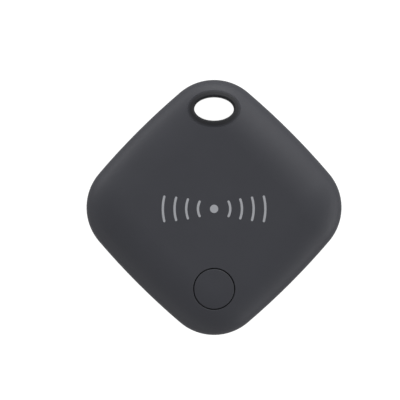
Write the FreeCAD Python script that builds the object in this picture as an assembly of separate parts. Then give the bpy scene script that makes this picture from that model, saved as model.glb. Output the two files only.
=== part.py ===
import FreeCAD
import Part
import math
import os

# Bluetooth tracker tag: a pebble with the plan of a rounded diamond, a keyring slot near one
# corner and a push button near the opposite one.
# Millimetres. X is to the right and Y towards the keyring slot, as seen from the front.
# Z is the thickness: the flat back lies on Z = 0 and the front face looks along +Z.
# The origin is the middle of the back. The battery cover is drawn in its released position.

V = FreeCAD.Vector
UP = V(0, 0, 1)

# ---- Casing ----
CORNER_REACH = 23.0  # middle to the tip of each corner
SIDE_REACH = 19.4  # middle to the middle of each side
CORNER_RADIUS = 9.4
THICKNESS = 8.6
SEAM = 3.8  # height at which the two shells meet
FRONT_RIM = 4.6  # the front's side wall is upright up to here, then rounds over
BACK_RIM = 3.0
FRONT_ROUND = 8.2  # plan width of the rounded edge
BACK_ROUND = 4.8
CROWN_RISE = 0.58  # handles of the rounded edge's curve, as shares of its height and width
CROWN_REACH = 0.42
SEAM_BEVEL = 0.12
WALL = 1.2
CEILING = THICKNESS - WALL
FIT = 0.03  # gap between parts that sit in each other without moving

CORNER_CENTRE = CORNER_REACH - CORNER_RADIUS
SIDE_RADIUS = (
    CORNER_RADIUS**2 - CORNER_CENTRE**2 + math.sqrt(2) * CORNER_CENTRE * SIDE_REACH - SIDE_REACH**2
) / (math.sqrt(2) * CORNER_CENTRE - 2 * SIDE_REACH + 2 * CORNER_RADIUS)
SIDE_CENTRE = SIDE_REACH - SIDE_RADIUS
CORNER_HALF_ANGLE = math.degrees(
    math.atan2(-SIDE_CENTRE / math.sqrt(2), CORNER_CENTRE - SIDE_CENTRE / math.sqrt(2))
)

# ---- Tongue, seal and snaps along the seam ----
TONGUE_INSET = 1.25
TONGUE_WALL = 0.7
TONGUE_HEIGHT = 1.0
SEAL_INSET = 0.45
SEAL_WIDTH = 0.5
SEAL_DEPTH = 0.45
SNAP_LENGTH = 8.0
SNAP_BITE = 0.2

# ---- Keyring slot ----
SLOT_Y = 17.75
SLOT_A = 3.58  # half the width and half the height of the clear opening
SLOT_B = 2.16
LINER_WALL = 1.15
LINER_FLANGE = 0.45
LINER_FLANGE_HALF = 0.3
LINER_SINK = 0.03
LINER_ROUND = 0.3
TUNNEL_WALL = 0.85

# ---- Push button and its switch ----
BUTTON_Y = -14.63
BUTTON_RADIUS = 3.58
BUTTON_GAP = 0.18
BUTTON_FLANGE_RADIUS = 4.45
BUTTON_FLANGE = (6.90, 7.32)
BUTTON_ROUND = 0.12
POCKET_RADIUS = 4.65
POCKET_TOP = 7.35
HOUSING_RADIUS = 5.4
MEMBRANE = (6.64, 6.86)
SWITCH_BASE_TOP = 6.34
SWITCH_FRAME_TOP = 6.42
SWITCH_CAVITY_FLOOR = 6.06
SWITCH_CAVITY_RADIUS = 1.2
DOME_RISE = 0.2
PLUNGER_RADIUS = 0.7
PLUNGER_FOOT = (6.27, 6.33)
PLUNGER_TOP = 6.62

# ---- Circuit board ----
BOARD = (5.2, 6.0)
BOARD_INSET = 3.0
BOARD_TOP_EDGE = 13.0
SCREW_PLACES = ((-15.8, 0.0), (15.8, 0.0), (-7.8, -13.0), (7.8, -13.0))
SCREW_HOLE_RADIUS = 0.85
BOSS_RADIUS = 1.5
PILOT_RADIUS = 0.5

# ---- Coin cell, a standard 20 mm by 3.2 mm one ----
CELL_RADIUS = 10.0
CELL = (1.5, 4.7)
CAN_WALL = 0.25

# ---- Battery cover with its bayonet, and the seal under its rim ----
COVER_RADIUS = 13.0
COVER = (0.1, 1.1)
COVER_GAP = 0.1
RECESS_TOP = 1.15
PLUG_RADIUS = 11.2
PLUG_BORE = 10.35
PLUG_TOP = 2.9
LUG_RADIUS = 11.95
LUG_BASE = 2.28
LUG_SPAN = 24.0
LEDGE_TOP = 2.25
NOTCH_SPAN = 27.0
LOCK_TURN = 35.0
BAY_CHANNEL = 12.05
BAY_OUTER = 13.9
BAY_TOP = 3.3
COVER_SEAL_RADIUS = 12.45
COVER_SEAL_SECTION = 0.25
COVER_SEAL_TOP = RECESS_TOP - 0.005
INDEX_ANGLE = 225.0

# ---- Cradle that holds the cell against the board ----
CRADLE_BORE = 10.2
CRADLE_OUTER = 11.3
CRADLE_FLANGE = (3.33, 3.9)
CRADLE_FLANGE_RADIUS = 13.3
PEG_ANGLES = (70.0, 190.0, 325.0)
PEG_PLACE = 10.75
PEG_RADIUS = 0.45
CONTACT_ANGLES = (20.0, 160.0)

# ---- Sounder: a disc bonded under the front face, which it drives ----
SOUNDER_RADIUS = 7.5
SOUNDER_TAPE = 0.1
SOUNDER_BRASS = 0.15
SOUNDER_CERAMIC = 0.15
SOUNDER_SILVER = 0.04
LEAD_RADIUS = 0.2


# ---- Shared shapes ----


def polar(radius, degrees, z=0.0):
    """The point at that radius and direction about the Z axis."""
    angle = math.radians(degrees)
    return V(radius * math.cos(angle), radius * math.sin(angle), z)


def outline_arcs(inset):
    """Centre, radius, first direction and span of each arc of the plan outline, moved inwards."""
    arcs = []
    for quarter in range(4):
        axis = 90.0 * quarter
        span = 2 * CORNER_HALF_ANGLE
        arcs.append((polar(CORNER_CENTRE, axis), CORNER_RADIUS - inset, axis - CORNER_HALF_ANGLE, span))
        centre = polar(SIDE_CENTRE, axis + 45)
        arcs.append((centre, SIDE_RADIUS - inset, axis + CORNER_HALF_ANGLE, 90 - span))
    return arcs


def outline(inset, z):
    """The plan outline, moved inwards, as a closed wire at height z."""
    edges = []
    for centre, radius, start, span in outline_arcs(inset):
        a, b, c = (centre + polar(radius, start + share * span, z) for share in (0, 0.5, 1))
        edges.append(Part.Arc(a, b, c).toShape())
    return Part.Wire(edges)


def crowned(inset, edge, rim, crown, width, bevel=0.0):
    """A solid on the plan outline: flat at edge, upright to rim, then rounded over to a flat at crown."""
    lift = crown - rim
    foot = edge + math.copysign(bevel, lift)
    poles = ((0, rim), (0, rim + CROWN_RISE * lift), (CROWN_REACH * width, crown), (width, crown))
    faces = [Part.Face(outline(inset + bevel, edge)), Part.Face(outline(inset + width, crown))]
    for centre, radius, start, span in outline_arcs(inset):
        points = [centre + polar(radius - s, start, z) for s, z in ((bevel, edge), (0, foot), *poles)]
        curve = Part.BezierCurve()
        curve.setPoles(points[2:])
        profile = [Part.makeLine(points[1], points[2]), curve.toShape()]
        if bevel:
            profile.insert(0, Part.makeLine(points[0], points[1]))
        faces += [face for part in profile for face in part.revolve(centre, UP, span).Faces]
    shell = Part.makeShell(faces)
    shell.sewShape()
    solid = Part.makeSolid(shell)
    if solid.Volume < 0:
        solid.reverse()
    return solid


def plate(inset, low, high):
    """A flat plate on the plan outline, moved inwards."""
    return Part.Face(outline(inset, low)).extrude(UP * (high - low))


def rim_ring(outer_inset, inner_inset, low, high):
    """A ring that follows the plan outline between two insets."""
    return plate(outer_inset, low, high).cut(plate(inner_inset, low, high))


def disc(radius, low, high, x=0.0, y=0.0):
    return Part.makeCylinder(radius, high - low, V(x, y, low))


def ring(outer, inner, low, high, x=0.0, y=0.0):
    return disc(outer, low, high, x, y).cut(disc(inner, low, high, x, y))


def sector(radius, middle, span, low, high):
    """A wedge of a disc about the Z axis, span degrees wide."""
    wedge = Part.makeCylinder(radius, high - low, V(0, 0, low), UP, span)
    wedge.rotate(V(), UP, middle - span / 2)
    return wedge


def block(length, width, low, high, x=0.0, y=0.0, turn=0.0):
    """A box centred on x, y and turned about its own middle."""
    box = Part.makeBox(length, width, high - low, V(x - length / 2, y - width / 2, low))
    box.rotate(V(x, y, 0), UP, turn)
    return box


def slot_prism(margin, low, high):
    """An elliptical prism about the keyring slot, larger than the clear opening by margin."""
    ellipse = Part.Ellipse(V(0, SLOT_Y, low), SLOT_A + margin, SLOT_B + margin)
    return Part.Face(Part.Wire(ellipse.toShape())).extrude(UP * (high - low))


def spun(points):
    """A solid of revolution about the Z axis from (radius, height) points."""
    corners = [V(r, 0, z) for r, z in points]
    return Part.Face(Part.makePolygon(corners + corners[:1])).revolve(V(), UP, 360)


def strip(points, thickness, width):
    """A bent metal strip: a centre line of (x, z) points, made that thick and that wide along Y."""
    left, right = [], []
    for i, (x, z) in enumerate(points):
        before = points[max(i - 1, 0)]
        after = points[min(i + 1, len(points) - 1)]
        into = V(x - before[0], 0, z - before[1])
        out = V(after[0] - x, 0, after[1] - z)
        ways = [way.normalize() for way in (into, out) if way.Length > 0]
        along = sum(ways[1:], ways[0]).normalize()
        reach = thickness / 2 / (along.dot(ways[0]))
        side = V(-along.z, 0, along.x) * reach
        here = V(x, -width / 2, z)
        left.append(here + side)
        right.append(here - side)
    corners = left + right[::-1]
    return Part.Face(Part.makePolygon(corners + corners[:1])).extrude(V(0, width, 0))


def wire_run(points, radius):
    """A round lead along straight runs joined by arcs as large as the runs allow."""
    points = [V(*p) for p in points]
    edges = []
    here = points[0]
    for before, corner, after in zip(points, points[1:], points[2:]):
        into, out = corner - before, after - corner
        turn = into.getAngle(out)
        setback = 0.45 * min(into.Length, out.Length)
        start = corner - V(into).normalize() * setback
        end = corner + V(out).normalize() * setback
        bisector = (V(out).normalize() - V(into).normalize()).normalize()
        bend = setback / math.tan(turn / 2)
        middle = corner + bisector * (bend / math.cos(turn / 2) - bend)
        edges += [Part.makeLine(here, start), Part.Arc(start, middle, end).toShape()]
        here = end
    edges.append(Part.makeLine(here, points[-1]))
    section = Part.Wire(Part.makeCircle(radius, points[0], points[1] - points[0]))
    return Part.Wire(edges).makePipeShell([section], True, True)


def edges_where(shape, test):
    """The edges whose every point passes the test."""
    return [edge for edge in shape.Edges if all(test(point) for point in edge.discretize(9))]


def round_button(shape, radius, rounding):
    """Rounds the front edge of that radius about the push button."""

    def on_front(p):
        return abs(math.hypot(p.x, p.y - BUTTON_Y) - radius) < 0.01 and p.z > POCKET_TOP + 0.2

    return shape.makeFillet(rounding, edges_where(shape, on_front))


def joined(shapes):
    shapes = list(shapes)
    return shapes[0].multiFuse(shapes[1:]).removeSplitter()


def without(shape, cuts):
    return shape.cut(Part.makeCompound(list(cuts))).removeSplitter()


# ---- Casing ----


def front_body(crown=THICKNESS):
    return crowned(0, SEAM, FRONT_RIM, crown, FRONT_ROUND, SEAM_BEVEL)


def back_body():
    return crowned(0, SEAM, BACK_RIM, 0.0, BACK_ROUND, SEAM_BEVEL)


def snap_zone():
    """The middle of each side, where the snap beads and their grooves are."""
    reach = 2 * CORNER_REACH
    return joined(block(reach, SNAP_LENGTH, 0, THICKNESS, turn=turn) for turn in (45, 135))


def front_shell():
    body = front_body()
    hollow = crowned(WALL, SEAM - 1, FRONT_RIM, CEILING, FRONT_ROUND - 1)
    tunnel = slot_prism(LINER_WALL + TUNNEL_WALL, SEAM, THICKNESS)
    housing = disc(HOUSING_RADIUS, MEMBRANE[1], THICKNESS, y=BUTTON_Y)
    bosses = [disc(BOSS_RADIUS, BOARD[1], THICKNESS, x, y) for x, y in SCREW_PLACES]
    inside = joined([tunnel, housing, *bosses]).common(body)
    shell = joined([body.cut(hollow), inside])
    snap_groove = rim_ring(TONGUE_INSET - SNAP_BITE - 0.1, TONGUE_INSET, SEAM + 0.4, SEAM + 0.9)
    pilots = [disc(PILOT_RADIUS, BOARD[1], BOARD[1] + 1.0, x, y) for x, y in SCREW_PLACES]
    shell = without(
        shell,
        [
            slot_prism(LINER_WALL + FIT, 0, 2 * THICKNESS),
            slot_prism(LINER_WALL + LINER_FLANGE + FIT, SEAM, SEAM + LINER_FLANGE_HALF),
            disc(BUTTON_RADIUS + BUTTON_GAP, 0, 2 * THICKNESS, y=BUTTON_Y),
            disc(POCKET_RADIUS, 0, POCKET_TOP, y=BUTTON_Y),
            disc(HOUSING_RADIUS + FIT, SEAM, MEMBRANE[1], y=BUTTON_Y),
            snap_groove.common(snap_zone()),
            *pilots,
        ],
    )
    return round_button(shell, BUTTON_RADIUS + BUTTON_GAP, BUTTON_ROUND)


def back_shell():
    body = back_body()
    hollow = crowned(WALL, SEAM + 1, BACK_RIM, WALL, BACK_ROUND - 1)
    tongue_inner = TONGUE_INSET + TONGUE_WALL
    tongue = rim_ring(TONGUE_INSET, tongue_inner, SEAM - 1, SEAM + TONGUE_HEIGHT)
    tunnel_clearance = slot_prism(LINER_WALL + TUNNEL_WALL + 2 * FIT, SEAM, THICKNESS)
    rim = rim_ring(WALL / 2, tongue_inner, SEAM - 1, SEAM)
    beads = rim_ring(TONGUE_INSET - SNAP_BITE, tongue_inner, SEAM + 0.5, SEAM + 0.8)
    tunnel = slot_prism(LINER_WALL + TUNNEL_WALL, 0, SEAM)
    bay = disc(BAY_OUTER, 0.5, BAY_TOP)
    inside = joined([rim, tunnel, bay]).common(body)
    shell = joined([body.cut(hollow), inside, tongue, beads.common(snap_zone())])
    channel = disc(BAY_CHANNEL, LEDGE_TOP, BAY_TOP)
    stops = [
        sector(BAY_CHANNEL + 0.5, 120 * i + angle, 3, LEDGE_TOP - 0.5, PLUG_TOP)
        for i in range(3)
        for angle in (-NOTCH_SPAN / 2 - 1.7, LOCK_TURN + LUG_SPAN / 2 + 2.5)
    ]
    channel = channel.cut(Part.makeCompound(stops))
    notches = [sector(BAY_CHANNEL, 120 * i, NOTCH_SPAN, 0, LEDGE_TOP) for i in range(3)]
    locked_mark = polar(COVER_RADIUS + 0.85, INDEX_ANGLE + LOCK_TURN)
    free_mark = polar(COVER_RADIUS + 0.85, INDEX_ANGLE)
    return without(
        shell,
        [
            tunnel_clearance,
            slot_prism(LINER_WALL + FIT, -1, THICKNESS),
            slot_prism(LINER_WALL + LINER_FLANGE + FIT, SEAM - LINER_FLANGE_HALF, THICKNESS),
            disc(COVER_RADIUS + COVER_GAP, -1, RECESS_TOP),
            disc(PLUG_RADIUS + COVER_GAP, 0, BAY_TOP),
            rim_ring(SEAL_INSET, SEAL_INSET + SEAL_WIDTH, SEAM - SEAL_DEPTH, SEAM),
            disc(0.35, -1, 0.15, locked_mark.x, locked_mark.y),
            ring(0.4, 0.2, -1, 0.15, free_mark.x, free_mark.y),
            channel,
            *notches,
        ],
    )


def perimeter_seal():
    return rim_ring(
        SEAL_INSET + FIT, SEAL_INSET + SEAL_WIDTH - FIT, SEAM - SEAL_DEPTH + FIT, SEAM - FIT / 3
    )


def slot_liner():
    """Lines the keyring slot from face to face, with a flange that the two shells clamp."""
    pebble = joined([front_body(THICKNESS - LINER_SINK), back_body()])
    outer = slot_prism(LINER_WALL, LINER_SINK, THICKNESS)
    flange_margin = LINER_WALL + LINER_FLANGE
    flange = slot_prism(flange_margin, SEAM - LINER_FLANGE_HALF + FIT, SEAM + LINER_FLANGE_HALF - FIT)
    liner = joined([outer.common(pebble), flange]).cut(slot_prism(0, -1, 2 * THICKNESS))

    def at_the_opening(p):
        share = math.hypot(p.x / SLOT_A, (p.y - SLOT_Y) / SLOT_B)
        return abs(share - 1) < 0.003 and not BACK_RIM < p.z < FRONT_RIM

    return liner.makeFillet(LINER_ROUND, edges_where(liner, at_the_opening))


# ---- Push button and switch ----


def button_cap():
    stem = disc(BUTTON_RADIUS, BUTTON_FLANGE[0], THICKNESS, y=BUTTON_Y).common(front_body())
    flange = disc(BUTTON_FLANGE_RADIUS, *BUTTON_FLANGE, y=BUTTON_Y)
    return round_button(joined([stem, flange]), BUTTON_RADIUS, BUTTON_ROUND)


def button_membrane():
    return disc(HOUSING_RADIUS, *MEMBRANE, y=BUTTON_Y)


def switch_base():
    base = block(3.4, 2.8, BOARD[1], SWITCH_BASE_TOP, y=BUTTON_Y)
    return base.cut(disc(SWITCH_CAVITY_RADIUS, SWITCH_CAVITY_FLOOR, THICKNESS, y=BUTTON_Y))


def switch_frame():
    """The metal cover plate, with a skirt down two sides of the base."""
    top = block(3.4, 2.8, SWITCH_BASE_TOP, SWITCH_FRAME_TOP, y=BUTTON_Y)
    skirts = [
        block(1.6, 0.1, BOARD[1] + 0.05, SWITCH_FRAME_TOP, y=BUTTON_Y + side * 1.45) for side in (-1, 1)
    ]
    return joined([top, *skirts]).cut(disc(PLUNGER_RADIUS + 0.06, 0, THICKNESS, y=BUTTON_Y))


def switch_dome():
    """The thin sprung disc under the plunger, domed upwards."""
    reach, gauge = SWITCH_CAVITY_RADIUS - 0.05, 0.05
    low = SWITCH_CAVITY_FLOOR + 0.005
    outer_radius = (reach**2 + DOME_RISE**2) / (2 * DOME_RISE)
    centre = V(0, BUTTON_Y, low + DOME_RISE - outer_radius)
    shell = Part.makeSphere(outer_radius, centre).cut(Part.makeSphere(outer_radius - gauge, centre))
    return shell.common(disc(reach, low, low + DOME_RISE, y=BUTTON_Y))


def switch_plunger():
    stem = disc(PLUNGER_RADIUS, PLUNGER_FOOT[0], PLUNGER_TOP, y=BUTTON_Y)
    return joined([stem, disc(SWITCH_CAVITY_RADIUS - 0.2, *PLUNGER_FOOT, y=BUTTON_Y)])


def switch_terminals():
    places = [(x, y) for x in (-1, 1) for y in (-1, 1)]
    return [
        block(0.7, 0.5, BOARD[1], BOARD[1] + 0.15, x * (1.7 + 0.36), BUTTON_Y + y * 0.9) for x, y in places
    ]


# ---- Circuit board and what is soldered to it ----


def main_board():
    board = plate(BOARD_INSET, *BOARD)
    reach = 2 * CORNER_REACH
    above = block(reach, CORNER_REACH, *BOARD, y=BOARD_TOP_EDGE + CORNER_REACH / 2)
    pegs = [polar(PEG_PLACE, angle) for angle in PEG_ANGLES]
    holes = [disc(SCREW_HOLE_RADIUS, *BOARD, x, y) for x, y in SCREW_PLACES]
    holes += [disc(PEG_RADIUS + 0.05, *BOARD, p.x, p.y) for p in pegs]
    return without(board, [above, *holes])


def board_screws():
    """Pan-head screws from behind, each with a cross recess, into the front shell's bosses."""
    screws = []
    for x, y in SCREW_PLACES:
        head = disc(1.25, BOARD[0] - 0.5, BOARD[0], x, y)
        head = head.makeFillet(0.2, edges_where(head, lambda p: p.z < BOARD[0] - 0.49))
        shank = disc(PILOT_RADIUS - 0.02, BOARD[0] - 0.1, BOARD[1] + 0.9, x, y)
        cross = [block(1.3, 0.28, 4.0, BOARD[0] - 0.2, x, y, turn) for turn in (20, 110)]
        screws.append(joined([head, shank]).cut(Part.makeCompound(cross)))
    return screws


def chip(length, width, height, x, y, turn=0.0):
    """A moulded package with bevelled top edges and a dimple that marks its first pin."""
    body = block(length, width, BOARD[1], BOARD[1] + height, x, y)
    top = [e for e in body.Edges if min(v.Point.z for v in e.Vertexes) > BOARD[1] + height / 2]
    body = body.makeChamfer(0.08, top)
    dimple = 0.12 * min(length, width)
    inset = 1.8 * dimple
    mark = disc(dimple, BOARD[1] + height - 0.05, THICKNESS, x - length / 2 + inset, y + width / 2 - inset)
    body = body.cut(mark)
    body.rotate(V(x, y, 0), UP, turn)
    return body


def bluetooth_chip():
    return chip(5.0, 5.0, 0.85, -3.2, 2.6)


def main_crystal():
    lid = block(2.2, 1.7, BOARD[1] + 0.25, BOARD[1] + 0.55, 2.4, 5.0)
    return [block(2.5, 2.0, BOARD[1], BOARD[1] + 0.25, 2.4, 5.0), lid]


def clock_crystal():
    return chip(3.2, 1.5, 0.75, 2.6, 1.6)


ANTENNA_PLACE = polar(13.1, 40)


def chip_antenna():
    x, y = ANTENNA_PLACE.x, ANTENNA_PLACE.y
    return block(5.2, 2.0, BOARD[1], BOARD[1] + 0.9, x, y, turn=-45)


def boost_inductor():
    """A shielded coil: a square ferrite block with a round winding window in its top."""
    body = block(3.0, 3.0, BOARD[1], BOARD[1] + 1.1, -11.0, 4.2)
    upright = [e for e in body.Edges if abs(e.tangentAt(e.FirstParameter).z) > 0.9]
    body = body.makeChamfer(0.5, upright)
    window = ring(1.25, 1.0, BOARD[1] + 0.8, THICKNESS, -11.0, 4.2)
    return body.cut(window)


def driver_transistor():
    return chip(2.9, 1.3, 1.0, -9.6, -3.6)


def transistor_legs():
    feet = ((-10.55, -1), (-8.65, -1), (-9.6, 1))
    return [block(0.4, 0.6, BOARD[1], BOARD[1] + 0.15, x, -3.6 + side * 0.96) for x, side in feet]


# Two-ended parts: x, y and turn of each, grouped by kind.
CAPACITOR_PLACES = [(-5.6 + 1.5 * i, 6.6, 90) for i in range(4)] + [(-11.0, 1.2, 0), (-11.0, 0.2, 0)]
RESISTOR_PLACES = [(-5.6 + 1.5 * i, -1.6, 90) for i in range(5)]
MATCHING_PLACES = [(6.2, 7.4, 40), (7.8, 7.0, 130)]
DIODE_PLACES = [(-6.6, -6.6, 45), (-4.4, -8.2, 30)]
RESERVOIR_PLACES = [(9.8, -3.6, 90)]
SMALL = (1.0, 0.5)
TWO_ENDED = {
    "capacitors": (CAPACITOR_PLACES, *SMALL, 0.5),
    "resistors": (RESISTOR_PLACES, *SMALL, 0.35),
    "matching_coils": (MATCHING_PLACES, *SMALL, 0.5),
    "diodes": (DIODE_PLACES, 1.7, 1.2, 0.7),
    "reservoir_capacitor": (RESERVOIR_PLACES, 3.2, 1.6, 1.2),
}
END_SHARE = 0.22


def two_ended_bodies(kind):
    places, length, width, height = TWO_ENDED[kind]
    inner = length * (1 - 2 * END_SHARE)
    return [
        block(inner, width, BOARD[1] + 0.02, BOARD[1] + height - 0.01, x, y, turn) for x, y, turn in places
    ]


def component_ends():
    """The plated ends of every two-ended part."""
    ends = []
    for places, length, width, height in TWO_ENDED.values():
        cap = length * END_SHARE
        for x, y, turn in places:
            for side in (-1, 1):
                way = polar(side * (length - cap) / 2, turn)
                ends.append(block(cap, width, BOARD[1], BOARD[1] + height, x + way.x, y + way.y, turn))
    return ends


# ---- Sounder ----


def sounder_layers():
    """Tape, brass plate, ceramic and silver, from the front shell's ceiling down."""
    gauges = {
        "sounder_tape": (SOUNDER_TAPE, SOUNDER_RADIUS, SOUNDER_RADIUS - 1.2),
        "sounder_plate": (SOUNDER_BRASS, SOUNDER_RADIUS, 0),
        "sounder_ceramic": (SOUNDER_CERAMIC, SOUNDER_RADIUS * 0.72, 0),
        "sounder_electrode": (SOUNDER_SILVER, SOUNDER_RADIUS * 0.65, 0),
    }
    layers, top = {}, CEILING
    for name, (gauge, outer, inner) in gauges.items():
        layers[name] = ring(outer, inner, top - gauge, top) if inner else disc(outer, top - gauge, top)
        top -= gauge
    return layers


SILVER_BOTTOM = CEILING - SOUNDER_TAPE - SOUNDER_BRASS - SOUNDER_CERAMIC - SOUNDER_SILVER
BRASS_BOTTOM = CEILING - SOUNDER_TAPE - SOUNDER_BRASS
LEAD_PADS = {"red": (4.4, -9.4), "black": (7.4, -9.0)}
LEAD_STARTS = {"red": (1.4, -3.2, SILVER_BOTTOM - 0.25), "black": (5.0, -4.2, BRASS_BOTTOM - 0.25)}
LEAD_MIDDLES = {
    "red": ((2.3, -5.1, 6.66), (2.8, -7.1, 6.45)),
    "black": ((6.4, -5.4, 6.8), (7.2, -7.2, 6.5)),
}
LEAD_END = BOARD[1] + LEAD_RADIUS + 0.05


def sounder_lead(colour):
    pad = LEAD_PADS[colour]
    return wire_run([LEAD_STARTS[colour], *LEAD_MIDDLES[colour], (*pad, LEAD_END)], LEAD_RADIUS)


def solder_joints():
    """A small cone of solder at each lead's pad, and a flat dot where it meets the sounder."""
    joints = [Part.makeCone(0.55, 0.25, 0.5, V(x, y, BOARD[1])) for x, y in LEAD_PADS.values()]
    for (x, y, z), top in zip(LEAD_STARTS.values(), (SILVER_BOTTOM, BRASS_BOTTOM)):
        joints.append(Part.makeCone(0.3, 0.5, top - z + LEAD_RADIUS, V(x, y, z - LEAD_RADIUS)))
    leads = [sounder_lead(colour) for colour in LEAD_PADS]
    return [joint.cut(Part.makeCompound(leads)) for joint in joints]


# ---- Coin cell ----


def cell_can():
    """The positive cup: flat end, side wall, and a lip crimped in over the seal."""
    low, high = CELL
    r, w = CELL_RADIUS, CAN_WALL
    lip = high - 0.35
    return spun(
        [
            (0, low),
            (r - 0.3, low),
            (r, low + 0.3),
            (r, lip - 0.4),
            (r - 0.55, lip),
            (r - 0.7, lip - 0.18),
            (r - w, lip - 0.55),
            (r - w, low + w + 0.1),
            (r - w - 0.1, low + w),
            (0, low + w),
        ]
    )


def cell_cap():
    """The negative cap: an upturned cup that stands proud of the can."""
    high = CELL[1]
    w = CAN_WALL
    return spun(
        [
            (0, high - w),
            (8.2, high - w),
            (8.45, high - 0.55),
            (8.45, high - 1.0),
            (8.7, high - 1.0),
            (8.7, high - 0.5),
            (8.4, high),
            (0, high),
        ]
    )


def cell_gasket():
    low, high = CELL
    return spun(
        [(8.75, low + 0.3), (9.7, low + 0.3), (9.7, high - 0.92), (9.2, high - 0.55), (8.75, high - 0.5)]
    )


def cell_layers():
    low, high = CELL
    middle = low + 2.0
    return {
        "cell_cathode": disc(8.0, low + CAN_WALL, middle),
        "cell_separator": disc(8.6, middle, middle + 0.1),
        "cell_anode": disc(7.9, middle + 0.1, high - CAN_WALL),
    }


# ---- Cradle and contacts ----


def cell_cradle():
    """Centres the cell under the board, pegged to it and clamped on the battery bay's wall."""
    wall = ring(CRADLE_OUTER, CRADLE_BORE, CRADLE_FLANGE[0], BOARD[0])
    flange = ring(CRADLE_FLANGE_RADIUS, CRADLE_BORE, *CRADLE_FLANGE)
    places = [polar(PEG_PLACE, angle) for angle in PEG_ANGLES]
    pegs = [disc(PEG_RADIUS, BOARD[0] - 0.2, BOARD[1] + 0.15, p.x, p.y) for p in places]
    windows = [sector(CRADLE_OUTER, angle, 20, 0, BOARD[0]) for angle in CONTACT_ANGLES]
    return without(joined([wall, flange, *pegs]), windows)


def positive_contacts():
    """Two sprung strips from the board that press on the side of the cell's can."""
    foot = BOARD[0] - 0.1
    line = [(13.2, foot), (11.4, foot), (11.1, foot - 0.5), (10.17, 3.75), (10.4, 3.25)]
    leaves = []
    for angle in CONTACT_ANGLES:
        leaf = strip(line, 0.2, 2.6)
        leaf.rotate(V(), UP, angle)
        leaves.append(leaf)
    return leaves


def negative_contact():
    """A strip on the board over the middle of the cell, with a finger at each end."""
    foot = BOARD[0] - 0.09
    tip = CELL[1] + 0.1
    half = [(1.6, foot), (2.4, foot), (5.6, tip), (6.3, tip + 0.15)]
    line = [(-x, z) for x, z in half[::-1]] + half
    return strip(line, 0.15, 2.4)


# ---- Battery cover ----


def battery_cover():
    """A disc with a hollow plug and three bayonet lugs, turned by a coin from outside."""
    low, high = COVER
    rim = disc(COVER_RADIUS, low, high)
    outer_edge = [e for e in rim.Edges if e.Closed and abs(e.CenterOfMass.z - low) < 0.01]
    rim = rim.makeFillet(0.15, outer_edge)
    plug = ring(PLUG_RADIUS, PLUG_BORE, high - 0.2, PLUG_TOP)
    lug_ring = ring(LUG_RADIUS, PLUG_BORE + 0.1, LUG_BASE, PLUG_TOP)
    lugs = [lug_ring.common(sector(2 * LUG_RADIUS, 120 * i, LUG_SPAN, 0, SEAM)) for i in range(3)]
    half = COVER_SEAL_SECTION + 0.03
    groove_floor = COVER_SEAL_TOP - 2 * COVER_SEAL_SECTION - 0.01
    groove = ring(COVER_SEAL_RADIUS + half, COVER_SEAL_RADIUS - half, groove_floor, high)
    length, width, depth = 10.0, 1.9, 0.5
    coin = [
        block(length, width, 0, low + depth, turn=INDEX_ANGLE),
        *[
            disc(width / 2, 0, low + depth, p.x, p.y)
            for p in (polar(length / 2, INDEX_ANGLE), polar(-length / 2, INDEX_ANGLE))
        ],
    ]
    index = polar(COVER_RADIUS - 1.3, INDEX_ANGLE)
    dot = disc(0.4, 0, low + 0.15, index.x, index.y)
    return without(joined([rim, plug, *lugs]), [groove, joined(coin), dot])


def cover_seal():
    centre = V(0, 0, COVER_SEAL_TOP - COVER_SEAL_SECTION)
    return Part.makeTorus(COVER_SEAL_RADIUS, COVER_SEAL_SECTION, centre)


def cover_pad():
    """The foam that keeps the cell pressed against its contacts."""
    return disc(8.5, COVER[1], CELL[0] - 0.02)


# ---- Everything, by name ----


def all_pieces():
    pieces = {
        "front_shell": front_shell(),
        "back_shell": back_shell(),
        "perimeter_seal": perimeter_seal(),
        "slot_liner": slot_liner(),
        "button_cap": button_cap(),
        "button_membrane": button_membrane(),
        "switch_base": switch_base(),
        "switch_frame": switch_frame(),
        "switch_dome": switch_dome(),
        "switch_plunger": switch_plunger(),
        "switch_terminals": switch_terminals(),
        "main_board": main_board(),
        "board_screws": board_screws(),
        "bluetooth_chip": bluetooth_chip(),
        "main_crystal": main_crystal(),
        "clock_crystal": clock_crystal(),
        "chip_antenna": chip_antenna(),
        "boost_inductor": boost_inductor(),
        "driver_transistor": driver_transistor(),
        "transistor_legs": transistor_legs(),
        "component_ends": component_ends(),
        "sounder_lead_red": sounder_lead("red"),
        "sounder_lead_black": sounder_lead("black"),
        "solder_joints": solder_joints(),
        "cell_can": cell_can(),
        "cell_cap": cell_cap(),
        "cell_gasket": cell_gasket(),
        "cell_cradle": cell_cradle(),
        "positive_contacts": positive_contacts(),
        "negative_contact": negative_contact(),
        "battery_cover": battery_cover(),
        "cover_seal": cover_seal(),
        "cover_pad": cover_pad(),
    }
    pieces.update(sounder_layers())
    pieces.update(cell_layers())
    for kind in TWO_ENDED:
        pieces[kind] = two_ended_bodies(kind)
    return pieces


def export(pieces):
    os.makedirs("parts", exist_ok=True)
    for name, shape in pieces.items():
        solids = shape if isinstance(shape, list) else [shape]
        solids = [solid for item in solids for solid in item.Solids]
        whole = solids[0] if len(solids) == 1 else Part.makeCompound(solids)
        print(f"{name:20} solids {len(solids):2}  volume {whole.Volume:9.3f}  valid {whole.isValid()}")
        whole.exportStep(f"parts/{name}.step")


export(all_pieces())
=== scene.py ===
import math

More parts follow.
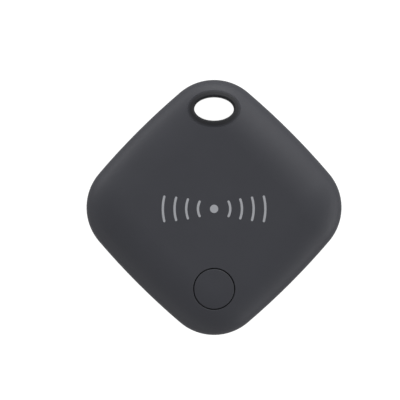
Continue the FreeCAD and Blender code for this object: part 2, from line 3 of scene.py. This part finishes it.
import bmesh
import bpy
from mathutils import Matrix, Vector

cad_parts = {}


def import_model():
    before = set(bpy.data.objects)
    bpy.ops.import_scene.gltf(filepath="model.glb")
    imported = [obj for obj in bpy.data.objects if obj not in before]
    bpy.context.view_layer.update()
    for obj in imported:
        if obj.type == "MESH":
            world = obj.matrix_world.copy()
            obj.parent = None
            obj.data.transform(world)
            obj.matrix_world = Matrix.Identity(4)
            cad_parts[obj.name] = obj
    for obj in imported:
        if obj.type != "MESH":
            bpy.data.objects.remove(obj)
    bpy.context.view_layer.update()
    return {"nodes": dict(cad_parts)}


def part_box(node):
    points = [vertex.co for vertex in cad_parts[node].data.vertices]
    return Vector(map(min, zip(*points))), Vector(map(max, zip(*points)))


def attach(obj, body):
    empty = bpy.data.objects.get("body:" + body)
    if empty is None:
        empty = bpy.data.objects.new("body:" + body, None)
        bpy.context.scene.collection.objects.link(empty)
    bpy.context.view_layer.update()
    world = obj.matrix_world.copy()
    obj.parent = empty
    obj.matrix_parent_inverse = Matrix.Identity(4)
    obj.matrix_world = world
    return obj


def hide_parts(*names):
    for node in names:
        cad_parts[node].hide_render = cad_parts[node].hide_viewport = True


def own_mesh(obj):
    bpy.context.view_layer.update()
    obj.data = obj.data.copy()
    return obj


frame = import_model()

MM = 0.001


def span_mm(node):
    """Lowest and highest corner of a CAD node, in mm."""
    return [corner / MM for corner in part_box(node)]


# ---- Materials ----

NOISE_LOW, NOISE_HIGH = 0.3, 0.7  # nearly all of a noise's values lie between these


class Surface:
    """A Principled material built up from procedural nodes, in object coordinates in millimetres."""

    def __init__(self, name, colour, roughness, metallic=0.0, specular=0.5):
        self.material = bpy.data.materials.new(name)
        self.material.use_nodes = True
        self.tree = self.material.node_tree
        self.shader = self.tree.nodes["Principled BSDF"]
        self.shader.inputs["Base Color"].default_value = (*colour, 1)
        self.shader.inputs["Roughness"].default_value = roughness
        self.shader.inputs["Metallic"].default_value = metallic
        self.shader.inputs["Specular IOR Level"].default_value = specular
        self.colour = colour
        scale = self.node("ShaderNodeVectorMath", operation="SCALE")
        scale.inputs["Scale"].default_value = 1 / MM
        self.link(self.node("ShaderNodeTexCoord").outputs["Object"], scale.inputs[0])
        self.place = scale.outputs["Vector"]

    def node(self, kind, **settings):
        made = self.tree.nodes.new(kind)
        for key, value in settings.items():
            setattr(made, key, value)
        return made

    def link(self, source, target):
        self.tree.links.new(source, target)

    def noise(self, per_mm, detail=3.0, roughness=0.55, stretch=(1, 1, 1), offset=0.0):
        """Fractal noise with that many features a millimetre."""
        spread = self.node("ShaderNodeMapping")
        spread.inputs["Scale"].default_value = stretch
        spread.inputs["Location"].default_value = (offset, offset, offset)
        noise = self.node("ShaderNodeTexNoise")
        noise.inputs["Scale"].default_value = per_mm
        noise.inputs["Detail"].default_value = detail
        noise.inputs["Roughness"].default_value = roughness
        self.link(self.place, spread.inputs["Vector"])
        self.link(spread.outputs["Vector"], noise.inputs["Vector"])
        return noise.outputs["Fac"]

    def ramp(self, factor, start, end):
        """Goes from one (position, value) pair to another; a value is a colour or a single grey."""
        ramp = self.node("ShaderNodeValToRGB")
        for element, (position, value) in zip(ramp.color_ramp.elements, (start, end)):
            element.position = position
            element.color = (*value, 1) if isinstance(value, tuple) else (value, value, value, 1)
        self.link(factor, ramp.inputs["Fac"])
        return ramp.outputs["Color"]

    def vary(self, socket, factor, low, high):
        """Lets one of the shader's inputs wander between two values with a noise."""
        wander = self.ramp(factor, (NOISE_LOW, low), (NOISE_HIGH, high))
        self.link(wander, self.shader.inputs[socket])

    def vary_colour(self, factor, spread):
        """Lets the base colour wander by that share either side of its value."""
        low, high = (tuple(c * (1 + way * spread) for c in self.colour) for way in (-1, 1))
        self.vary("Base Color", factor, low, high)

    def bump(self, height, depth_mm):
        bump = self.node("ShaderNodeBump")
        bump.inputs["Distance"].default_value = depth_mm * MM
        self.link(height, bump.inputs["Height"])
        self.link(bump.outputs["Normal"], self.shader.inputs["Normal"])


def moulded(name, colour, roughness, specular=0.25):
    """Plastic with the fine even texture of a spark-eroded mould."""
    s = Surface(name, colour, roughness, specular=specular)
    grain = s.noise(per_mm=4, detail=4)
    clouds = s.noise(per_mm=0.12, detail=2, offset=7)
    s.vary_colour(clouds, spread=0.04)
    s.vary("Roughness", grain, roughness - 0.04, roughness + 0.04)
    s.bump(grain, depth_mm=0.004)
    return s.material


def rubbery(name, colour, roughness=0.8):
    s = Surface(name, colour, roughness, specular=0.25)
    s.vary_colour(s.noise(per_mm=1.5), spread=0.15)
    s.bump(s.noise(per_mm=6), depth_mm=0.01)
    return s.material


def rolled(name, colour, roughness, stretch=(0.15, 3, 3)):
    """Metal with the faint lines that rolling or stamping leaves."""
    s = Surface(name, colour, roughness, metallic=1.0)
    lines = s.noise(per_mm=4, stretch=stretch)
    s.vary("Roughness", lines, roughness - 0.08, roughness + 0.1)
    s.vary_colour(s.noise(per_mm=0.6, offset=3), spread=0.06)
    s.bump(lines, depth_mm=0.002)
    return s.material


def speckled(name, colour, roughness, spread=0.2, per_mm=5, depth_mm=0.004):
    """Fired ceramic, pressed powder or foam: a granular body."""
    s = Surface(name, colour, roughness)
    grains = s.noise(per_mm, detail=5, roughness=0.7)
    s.vary_colour(grains, spread)
    s.bump(grains, depth_mm)
    return s.material


def ink(name, colour):
    s = Surface(name, colour, 0.6, specular=0.3)
    s.vary_colour(s.noise(per_mm=1.2), spread=0.03)
    s.bump(s.noise(per_mm=5), depth_mm=0.003)
    return s.material


def solder_mask(name, colour):
    """Green mask over woven glass, whose threads show faintly through it."""
    s = Surface(name, colour, 0.3)
    weave = s.node("ShaderNodeMath", operation="MULTIPLY")
    for axis, socket in zip("XY", weave.inputs):
        threads = s.node("ShaderNodeTexWave", bands_direction=axis)
        threads.inputs["Scale"].default_value = 0.7
        threads.inputs["Distortion"].default_value = 0.6
        s.link(s.place, threads.inputs["Vector"])
        s.link(threads.outputs["Fac"], socket)
    s.vary_colour(weave.outputs["Value"], spread=0.12)
    s.vary("Roughness", s.noise(per_mm=2), 0.25, 0.4)
    s.bump(weave.outputs["Value"], depth_mm=0.004)
    return s.material


def liner(casing_colour):
    """Darker plastic. Over the band's outer edge its colour fades into the casing's: a painted shade that
    stands in for the rim sloping down into the slot.
    """
    s = Surface("liner", (0.0098, 0.0102, 0.0122), 0.5, specular=0.22)
    grain = s.noise(per_mm=4, detail=4)
    s.vary("Roughness", grain, 0.46, 0.54)
    s.bump(grain, depth_mm=0.002)

    # How far out a point is, as a share of the way from the slot's middle to the edge of the band
    flange = 0.45  # of the liner is hidden in the casing all round, in mm
    low, high = span_mm("slot_liner")
    middle, half = (low + high) / 2, (high - low) / 2
    from_middle = s.node("ShaderNodeVectorMath", operation="SUBTRACT")
    from_middle.inputs[1].default_value = (middle.x, middle.y, 0)
    share = s.node("ShaderNodeVectorMath", operation="MULTIPLY")
    share.inputs[1].default_value = (1 / (half.x - flange), 1 / (half.y - flange), 0)
    reach = s.node("ShaderNodeVectorMath", operation="LENGTH")
    s.link(s.place, from_middle.inputs[0])
    s.link(from_middle.outputs["Vector"], share.inputs[0])
    s.link(share.outputs["Vector"], reach.inputs[0])
    # Painted shade: the colour lightens into the casing's over the band's outer edge, where a sloping rim
    # would be shaded.
    painted_rim_shade = s.ramp(reach.outputs["Value"], (0.91, s.colour), (1.0, casing_colour))
    s.link(painted_rim_shade, s.shader.inputs["Base Color"])
    return s.material


CASING_COLOUR = (0.0265, 0.0275, 0.0340)

# The finish of each group of CAD nodes. A finish has its name, its colour and its roughness.
FINISHES = {}
for finish, *nodes in (
    (moulded("casing", CASING_COLOUR, 0.5, specular=0.35), "front_shell", "back_shell", "battery_cover"),
    (moulded("button", (0.0255, 0.0265, 0.0330), 0.5, specular=0.35), "button_cap"),
    (liner(CASING_COLOUR), "slot_liner"),
    (moulded("switch_body", (0.02, 0.02, 0.021), 0.5), "switch_base"),
    (moulded("switch_knob", (0.03, 0.03, 0.03), 0.45), "switch_plunger"),
    (moulded("cradle", (0.55, 0.55, 0.52), 0.5), "cell_cradle"),
    (moulded("gasket", (0.1, 0.1, 0.11), 0.35), "cell_gasket"),
    (solder_mask("board_mask", (0.010, 0.065, 0.026)), "main_board"),
    (rolled("sounder_brass", (0.78, 0.55, 0.22), 0.35), "sounder_plate"),
    (rolled("silvering", (0.75, 0.74, 0.70), 0.45), "sounder_electrode"),
    (rolled("crystal_lid", (0.70, 0.65, 0.55), 0.35), "main_crystal"),
    (speckled("antenna_ceramic", (0.70, 0.70, 0.66), 0.5, spread=0.05), "chip_antenna"),
    (speckled("piezo_ceramic", (0.66, 0.62, 0.52), 0.6, spread=0.06), "sounder_ceramic"),
    (speckled("cathode_powder", (0.02, 0.02, 0.02), 0.9, spread=0.4), "cell_cathode"),
    (speckled("separator_felt", (0.75, 0.75, 0.72), 0.95, spread=0.1), "cell_separator"),
    (speckled("anode_metal", (0.5, 0.5, 0.53), 0.5, spread=0.15), "cell_anode"),
    (speckled("foam", (0.03, 0.03, 0.032), 0.95, spread=0.5, depth_mm=0.05), "cover_pad"),
    (speckled("tape", (0.6, 0.58, 0.5), 0.6, spread=0.08), "sounder_tape"),
    (speckled("resistor_glaze", (0.02, 0.02, 0.022), 0.3), "resistors"),
    (rubbery("red_insulation", (0.45, 0.02, 0.02), 0.4), "sounder_lead_red"),
    (rubbery("black_insulation", (0.015, 0.015, 0.016), 0.4), "sounder_lead_black"),
    (rubbery("black_rubber", (0.018, 0.018, 0.018)), "perimeter_seal", "cover_seal", "button_membrane"),
    (
        speckled("moulding_compound", (0.02, 0.02, 0.021), 0.55, spread=0.25, per_mm=8),
        "bluetooth_chip", "clock_crystal", "driver_transistor", "diodes",
    ),
    (speckled("ferrite", (0.05, 0.05, 0.055), 0.55), "boost_inductor", "matching_coils"),
    (
        speckled("capacitor_body", (0.35, 0.22, 0.12), 0.5, spread=0.08),
        "capacitors", "reservoir_capacitor",
    ),
    (rolled("tin", (0.7, 0.7, 0.68), 0.35), "component_ends", "transistor_legs", "solder_joints"),
    (
        rolled("plated_steel", (0.62, 0.61, 0.58), 0.3),
        "switch_frame", "switch_terminals", "switch_dome", "board_screws", "positive_contacts",
        "negative_contact",
    ),
    (rolled("cell_steel", (0.66, 0.66, 0.66), 0.3, stretch=(3, 0.15, 3)), "cell_can", "cell_cap"),
):
    FINISHES.update(dict.fromkeys(nodes, finish))

for name, node in frame["nodes"].items():
    node.data.materials.clear()
    node.data.materials.append(FINISHES[name])


# ---- Outlines: points in metres round a flat shape ----


def polar(radius, angle):
    return radius * math.cos(math.radians(angle)), radius * math.sin(math.radians(angle))


def arc(radius, start, end, centre=(0, 0), steps=24):
    """Points in mm along an arc, from one angle to another in degrees."""
    around = (polar(radius, start + (end - start) * i / steps) for i in range(steps + 1))
    return [(centre[0] + x, centre[1] + y) for x, y in around]


def in_mm(points):
    return [Vector((x, y, 0)) * MM for x, y in points]


def turned(way):
    """That direction turned a quarter to the left."""
    return Vector((-way.y, way.x, 0))


def sides_of(path, width):
    """The left and right edges of a line of that width along the points, with mitred bends."""
    ways = [(b - a).normalized() for a, b in zip(path, path[1:])]
    left, right = [], []
    for point, before, after in zip(path, ways[:1] + ways, ways + ways[-1:]):
        across = turned(before + after).normalized()
        across *= width / 2 / across.dot(turned(after))
        left.append(point + across)
        right.append(point - across)
    return left, right


def cap(end, before, width, steps=8):
    """The round end of a line whose last two points are given, from its left edge to its right one."""
    way = end - before
    start = math.atan2(way.y, way.x) + math.pi / 2
    angles = (start - math.pi * k / steps for k in range(1, steps))
    return [end + width / 2 * Vector((math.cos(a), math.sin(a), 0)) for a in angles]


def outline_of(path, width):
    left, right = sides_of(path, width)
    return left + cap(path[-1], path[-2], width) + right[::-1] + cap(path[0], path[1], width)


# ---- Solids over outlines, and pieces made of them ----


def add_prism(mesh, outline, low, high):
    """A closed solid over an outline, between two heights in mm."""
    bottom = [mesh.verts.new((p.x, p.y, low * MM)) for p in outline]
    top = [mesh.verts.new((p.x, p.y, high * MM)) for p in outline]
    mesh.faces.new(top)
    mesh.faces.new(bottom[::-1])
    for i in range(len(outline)):
        j = (i + 1) % len(outline)
        mesh.faces.new((bottom[i], bottom[j], top[j], top[i]))


def add_line(mesh, points, width, low, high):
    add_prism(mesh, outline_of(in_mm(points), width * MM), low, high)


def add_disc(mesh, centre, radius, low, high):
    add_prism(mesh, in_mm(arc(radius, 0, 360, centre, steps=32)[:-1]), low, high)


def piece(name, mesh, body, finish):
    """Makes a bmesh into an object that rides on a body, with the finish it is given."""
    bmesh.ops.recalc_face_normals(mesh, faces=mesh.faces)
    data = bpy.data.meshes.new(name)
    mesh.to_mesh(data)
    mesh.free()
    data.materials.append(finish)
    made = bpy.data.objects.new(name, data)
    bpy.context.scene.collection.objects.link(made)
    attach(made, body)
    return made


# ---- The sign printed on the front ----

SUNK = 0.01  # how far every mark goes into the face that it lies on, in mm
SIGN_INK = ink("sign_ink", (0.268, 0.275, 0.293))


def front_sign():
    """A dot between two sets of radio waves, each wave given by its radius and its reach either side."""
    mesh = bmesh.new()
    middle, dot, stroke, proud = (0, -0.25), 0.75, 0.42, 0.015
    face = span_mm("front_shell")[1].z
    low, high = face - SUNK, face + proud
    add_disc(mesh, middle, dot, low, high)
    for radius, reach in ((2.9, 1.3), (5.0, 1.7), (7.1, 2.0), (9.2, 2.2)):
        half = math.degrees(math.asin(reach / radius))
        for facing in (0, 180):
            add_line(mesh, arc(radius, facing - half, facing + half, middle), stroke, low, high)
    piece("front_sign", mesh, "housing", SIGN_INK)


# ---- The board's copper and print ----

# Tracks in mm, as (width, points). Those on the front join the switch, the radio chip and its crystals, the
# antenna and the sounder's driver; those on the rear join the cell's contacts.
SIGNAL, DRIVE, POWER = 0.2, 0.35, 0.5
FRONT_TRACKS = [
    (SIGNAL, ((-2.1, -13.7), (-2.9, -12.9), (-2.9, -3.0), (-2.6, -2.4))),
    (SIGNAL, ((2.1, -13.7), (2.1, -11.6), (1.2, -10.7), (1.2, -3.6), (0.4, -2.4))),
    (SIGNAL, ((-5.6, -2.3), (-5.6, -3.2), (-7.6, -5.2), (-9.9, -5.2), (-10.5, -4.6))),
    (SIGNAL, ((-5.7, 1.2), (-10.4, 1.2))),
    (SIGNAL, ((-5.7, 0.5), (-6.0, 0.2), (-10.4, 0.2))),
    (SIGNAL, ((-0.7, 4.2), (0.2, 4.2), (0.6, 4.6), (1.3, 4.6))),
    (SIGNAL, ((-0.7, 4.8), (0.0, 4.8), (0.6, 5.4), (1.3, 5.4))),
    (SIGNAL, ((-0.7, 2.0), (1.2, 2.0))),
    (SIGNAL, ((-0.7, 1.2), (1.2, 1.2))),
    (DRIVE, ((-0.7, 3.1), (3.9, 3.1), (4.6, 3.8), (4.6, 5.9), (5.8, 7.1))),
    (DRIVE, ((6.6, 7.8), (7.4, 8.6), (7.4, 9.4), (8.2, 10.2))),
    (POWER, ((-9.6, -2.6), (-9.6, 1.6), (-10.4, 2.4), (-10.4, 2.9))),
    (POWER, ((-8.7, -4.6), (-8.7, -5.6), (-7.1, -7.2))),
    (POWER, ((-11.0, 5.6), (-11.0, 7.6), (-7.8, 10.8), (3.2, 10.8))),
    (POWER, ((7.4, -9.0), (7.4, -7.4), (9.8, -5.0))),
    (POWER, ((9.8, -2.2), (9.8, 0.4), (12.6, 3.2))),
    (POWER, ((4.4, -9.4), (4.4, -11.4), (6.0, -13.0), (9.6, -13.0))),
]
FRONT_TRACKS += [(SIGNAL, ((x, 5.1), (x, 6.2))) for x in (-4.1, -2.6, -1.1)]
FRONT_TRACKS += [(SIGNAL, ((x, 0.1), (x, -1.2))) for x in (-5.2, -4.1, -2.6, -1.1)]
REAR_TRACKS = [(POWER, arc(8.6, 165, 375)), (POWER, arc(8.6, 45, 135))]
for k in range(4):
    right, up = 0.6 * k, -0.2 * k
    bends = ((-6.3 + right, 6.4 + up), (-3.6 + right, 3.7 + up), (1.2 + right, 3.7 + up))
    REAR_TRACKS.append((SIGNAL, (*bends, (5.4 + 0.3 * k, 7.9 - 0.5 * k))))
for side in (-1, 1):
    points = ((6.0, 0), (7.2, -1.2), (7.2, -3.2), (4.4, -6.0), (4.4, -7.4))
    REAR_TRACKS.append((POWER, [(side * x, y) for x, y in points]))

# Gold-plated test pads, and the ends of tracks that go through the board: x, y and radius in mm
TEST, THROUGH = 0.45, 0.4
FRONT_PADS = [(-13.6, -1.6 - 1.3 * k, TEST) for k in range(3)]
FRONT_PADS += [(9.6 + 1.2 * k, -9.6 + 1.2 * k, TEST) for k in range(3)]
FRONT_PADS += [(3.2, 10.8, THROUGH), (12.6, 3.2, THROUGH), (9.6, -13.0, THROUGH)]
REAR_PADS = [(-2.6 + 1.3 * k, -3.4, TEST) for k in range(5)]
REAR_PADS += [(-4.4, -7.4, THROUGH), (4.4, -7.4, THROUGH)]


def add_corners(mesh, box, low, high, margin=0.3, arm=0.6, stroke=0.13):
    """Four printed corner marks round a part on the board."""
    (x0, y0, _), (x1, y1, _) = box
    for x, inward in ((x0 - margin, arm), (x1 + margin, -arm)):
        for y, up in ((y0 - margin, arm), (y1 + margin, -arm)):
            add_line(mesh, ((x + inward, y), (x, y), (x, y + up)), stroke, low, high)


def board_copper(rear, front, thickness=0.04):
    """Copper tracks and plated pads on both faces of the board."""
    copper, pads = bmesh.new(), bmesh.new()
    pad_below, pad_above = 0.005, 0.01  # how far a pad goes past the copper
    for tracks, plated, low in (
        (FRONT_TRACKS, FRONT_PADS, front - SUNK),
        (REAR_TRACKS, REAR_PADS, rear + SUNK - thickness),
    ):
        high = low + thickness
        for width, points in tracks:
            add_line(copper, points, width, low, high)
        for x, y, radius in plated:
            add_disc(pads, (x, y), radius, low - pad_below, high + pad_above)
    mask = solder_mask("mask_over_copper", (0.022, 0.130, 0.052))
    piece("board_tracks", copper, "housing", mask)
    piece("board_pads", pads, "housing", rolled("gold_plating", (0.83, 0.62, 0.25), 0.3))


def board_print(rear, front, proud=0.02):
    """Corner marks round the larger parts on the front, and a dash at each side of the rear."""
    mesh = bmesh.new()
    marked = ("bluetooth_chip", "main_crystal", "clock_crystal", "boost_inductor", "driver_transistor",
              "reservoir_capacitor")
    for node in marked:
        add_corners(mesh, span_mm(node), front - SUNK, front + proud)
    reach, stroke = 0.7, 0.22
    for x in (-9.0, 9.0):
        add_line(mesh, ((x - reach, 0), (x + reach, 0)), stroke, rear - proud, rear + SUNK)
    piece("board_print", mesh, "housing", ink("board_ink", (0.75, 0.75, 0.73)))


# ---- Marks on the rear ----


def cell_mark():
    """The plus sign on the can of the cell: four arms, clockwise, in one outline."""
    mesh = bmesh.new()
    face = span_mm("cell_can")[0].z
    centre, reach, width, proud = Vector((0, 5.0, 0)) * MM, 1.6 * MM, 0.6 * MM, 0.02
    outline = []
    for x, y in ((1, 0), (0, -1), (-1, 0), (0, 1)):
        way = Vector((x, y, 0))
        left = turned(way) * width / 2
        end = centre + reach * way
        outline += [centre + left + way * width / 2, end + left, *cap(end, centre, width), end - left]
    add_prism(mesh, outline, face - proud, face + SUNK)
    steel = rolled("cell_mark_steel", (0.25, 0.25, 0.26), 0.5)
    piece("cell_plus_mark", mesh, "housing", steel)


def cover_arrow():
    """The arrow printed on the cover, which points the way the cover turns to open."""
    mesh = bmesh.new()
    face = span_mm("battery_cover")[0].z
    radius, start, neck, tip = 9.2, 300, 246, 236
    width, barb, proud = 0.5 * MM, 1.1, 0.015
    shaft = in_mm(arc(radius, start, neck))
    outside, inside = sides_of(shaft, width)
    head = in_mm([polar(radius + barb, neck), polar(radius, tip), polar(radius - barb, neck)])
    outline = outside + head + inside[::-1] + cap(shaft[0], shaft[1], width)
    add_prism(mesh, outline, face - proud, face + SUNK)
    piece("cover_arrow", mesh, "battery_cover", SIGN_INK)


# ---- What gives way when the button is pressed ----


def add_spun(mesh, profile, x, y, steps=64):
    """A solid turned about an upright axis, from (radius, height) points in mm that start and end on it."""
    rings = []
    for radius, height in profile:
        around = [polar(radius, 360 * k / steps) for k in range(steps if radius else 1)]
        rings.append([mesh.verts.new(Vector((x + dx, y + dy, height)) * MM) for dx, dy in around])
    for low, high in zip(rings, rings[1:]):
        for k in range(steps):
            corners = (low, k), (low, k + 1), (high, k + 1), (high, k)
            mesh.faces.new(dict.fromkeys(ring[i % len(ring)] for ring, i in corners))


def giving_way(name, node, profile):
    """Stands for a node that flattens under the piece above it as the button goes in."""
    (x0, y0, low), (x1, y1, high) = span_mm(node)
    mesh = bmesh.new()
    add_spun(mesh, profile((x1 - x0) / 2, low, high), (x0 + x1) / 2, (y0 + y1) / 2)
    made = piece(name, mesh, "housing", FINISHES[node])
    made.data.shade_smooth()
    made.data.set_sharp_from_angle(angle=math.radians(35))
    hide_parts(node)
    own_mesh(made)


def membrane_profile(radius, low, high):
    """A clamped rim, a thinner web that flexes and a pad under the button."""
    bevel, rim, slope, pad = 0.05, 0.65, 0.15, 2.85
    web = high - 0.06
    return [
        (0, low), (radius - bevel, low), (radius, low + bevel),
        (radius, high - bevel), (radius - bevel, high), (radius - rim, high),
        (radius - rim - slope, web), (pad + slope, web), (pad, high), (0, high),
    ]


def dome_profile(radius, low, high, gauge=0.05, steps=12):
    """A sprung disc of even thickness, curved to a sphere and standing on its rim."""
    rise = high - low
    sphere = (radius**2 + rise**2) / (2 * rise)

    def height(r):
        return high - sphere + math.sqrt(sphere**2 - r**2)

    inner = math.sqrt(sphere**2 - (sphere - rise + gauge) ** 2)
    top = [(radius * i / steps, height(radius * i / steps)) for i in range(steps + 1)]
    under = [(inner * i / steps, height(inner * i / steps) - gauge) for i in range(steps, -1, -1)]
    return top + under


front_sign()
board_faces = [corner.z for corner in span_mm("main_board")]
board_copper(*board_faces)
board_print(*board_faces)
cell_mark()
cover_arrow()
giving_way("membrane_pad", "button_membrane", membrane_profile)
giving_way("dome_spring", "switch_dome", dome_profile)


# ---- Stage: floor, light and camera ----


def glow_as(tree, level, strength):
    """Makes a light source white to the camera, and that bright to everything it lights."""
    brightness = tree.nodes.new("ShaderNodeMapRange")
    brightness.inputs["To Min"].default_value = level
    brightness.inputs["To Max"].default_value = 1.0
    path = tree.nodes.new("ShaderNodeLightPath")
    tree.links.new(path.outputs["Is Camera Ray"], brightness.inputs["Value"])
    tree.links.new(brightness.outputs["Result"], strength)


def floor(level):
    """A light table, clear from below so that the tag's rear can be seen too."""
    side, gap = 3.0, 0.05 * MM
    bpy.ops.mesh.primitive_plane_add(size=side, location=(0, 0, -gap))
    made = bpy.context.object
    made.name = "floor"
    s = Surface("floor_light_table", (0.15, 0.15, 0.15), 0.9, specular=0.0)
    s.shader.inputs["Emission Color"].default_value = (1, 1, 1, 1)
    glow_as(s.tree, level, s.shader.inputs["Emission Strength"])
    either = s.node("ShaderNodeMixShader")
    s.link(s.node("ShaderNodeNewGeometry").outputs["Backfacing"], either.inputs["Fac"])
    s.link(s.shader.outputs["BSDF"], either.inputs[1])
    s.link(s.node("ShaderNodeBsdfTransparent").outputs["BSDF"], either.inputs[2])
    s.link(either.outputs["Shader"], s.tree.nodes["Material Output"].inputs["Surface"])
    made.data.materials.append(s.material)


def world(level):
    """The same light from all round."""
    surround = bpy.data.worlds.new("studio")
    surround.use_nodes = True
    background = surround.node_tree.nodes["Background"]
    background.inputs["Color"].default_value = (1, 1, 1, 1)
    glow_as(surround.node_tree, level, background.inputs["Strength"])
    bpy.context.scene.world = surround


def softbox(name, direction, height, power, size=1.0, distance=1.2):
    """A round softbox aimed at the tag: its direction about Z and its height in degrees, and its watts."""
    data = bpy.data.lights.new(name, "AREA")
    data.shape = "DISK"
    data.size = size
    data.energy = power
    lamp = bpy.data.objects.new(name, data)
    across, up = math.radians(direction), math.radians(height)
    way = Vector((math.cos(across) * math.cos(up), math.sin(across) * math.cos(up), math.sin(up)))
    lamp.location = distance * way
    lamp.rotation_euler = (-way).to_track_quat("-Z", "Y").to_euler()
    bpy.context.scene.collection.objects.link(lamp)


def camera():
    """Looks straight down, from so far away that the sides of the slot hardly show."""
    across, up, distance = -2.53 * MM, 1.34 * MM, 0.9  # the tag is a little off the picture's middle
    data = bpy.data.cameras.new("camera")
    data.lens, data.sensor_width = 447.0, 36.0
    data.clip_start, data.clip_end = 0.01, 10
    made = bpy.data.objects.new("camera", data)
    made.location = (across, up, distance)
    bpy.context.scene.collection.objects.link(made)
    bpy.context.scene.camera = made


floor(level=0.47)
world(level=0.53)
softbox("right", -30, 10, 4.9)
softbox("right_upper", 0, 10, 4.0)
softbox("upper_right", 40, 10, 2.8)
softbox("key", 65, 45, 6.4)
softbox("top", 90, 10, 8.2)
softbox("upper_left", 140, 10, 5.9)
softbox("lower_left", 210, 10, 1.7)
softbox("bottom", 250, 10, 1.4)
camera()
bpy.context.scene.view_settings.view_transform = "Standard"
